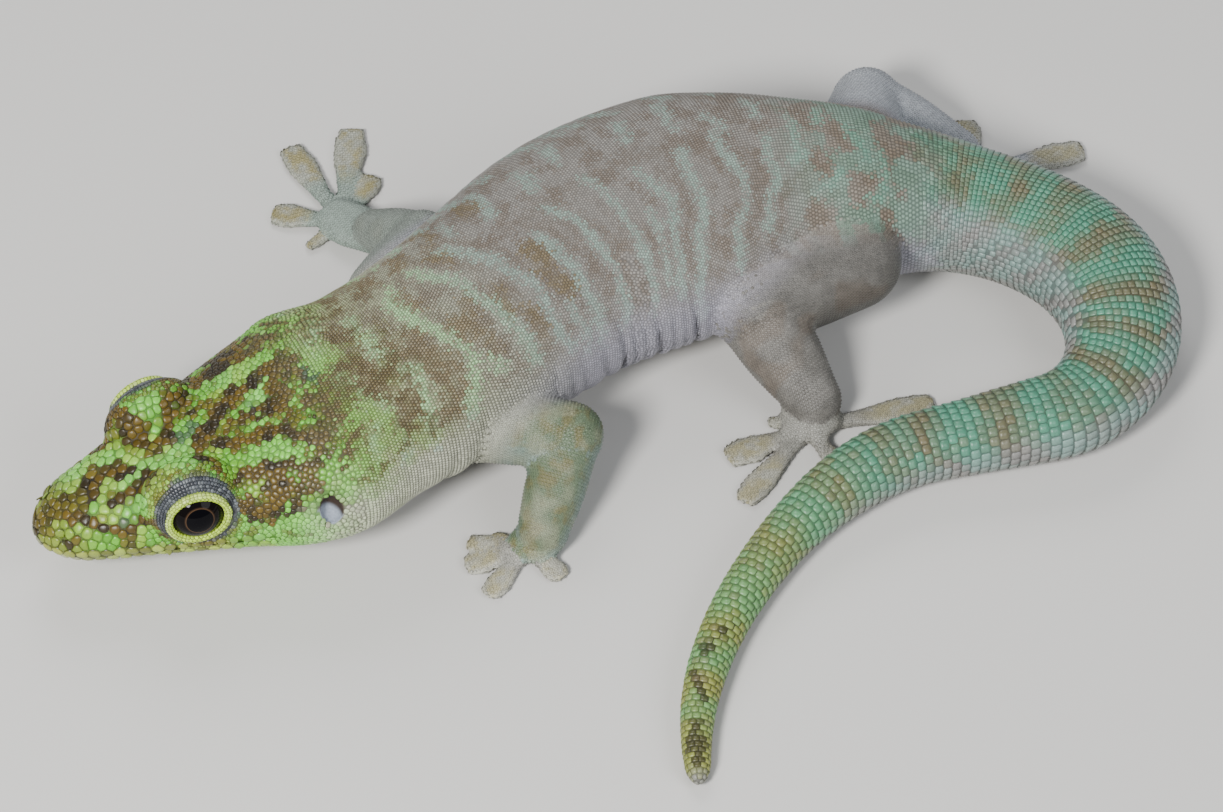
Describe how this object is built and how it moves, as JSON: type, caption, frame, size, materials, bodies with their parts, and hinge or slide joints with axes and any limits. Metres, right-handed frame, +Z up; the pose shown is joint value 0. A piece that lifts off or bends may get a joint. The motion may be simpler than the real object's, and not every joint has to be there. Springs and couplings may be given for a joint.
{
  "type": "standing's day gecko model",
  "caption": "Life-size model of a day gecko lying on the floor, head raised a little, legs spread and tail curled round to its left side.",
  "frame": {"origin": "middle of the model's outline on the floor it lies on", "axes": "+Z up; +X from the head's end towards the tail's bend; +Y towards the animal's right side"},
  "size_m": [0.1214, 0.0937, 0.0204],
  "materials": {
    "head_skin": "satin scales, yellow-green with brown blotches",
    "body_skin": "satin fine scales, grey-brown with pale mint lines",
    "tail_skin": "satin ringed scales, turquoise and grey-brown bands",
    "leg_skin": "satin fine scales, warm grey",
    "foot_skin": "satin, pale grey with cream toe pads",
    "eye_glass": "wet gloss, near black"
  },
  "bodies": {
    "root": {"head": "head_skin", "neck": "body_skin", "chest": "body_skin", "belly": "body_skin", "pelvis": "body_skin", "tail_1": "tail_skin", "tail_2": "tail_skin", "tail_3": "tail_skin", "tail_4": "tail_skin", "tail_5": "tail_skin", "eye_left": "eye_glass", "eye_right": "eye_glass", "front_left_upper_arm": "leg_skin", "front_left_forearm": "leg_skin", "front_left_hand": "foot_skin", "front_right_upper_arm": "leg_skin", "front_right_forearm": "leg_skin", "front_right_hand": "foot_skin", "hind_left_thigh": "leg_skin", "hind_left_shank": "leg_skin", "hind_left_foot": "foot_skin", "hind_right_thigh": "leg_skin", "hind_right_shank": "leg_skin", "hind_right_foot": "foot_skin"}
  },
  "joints": []
}
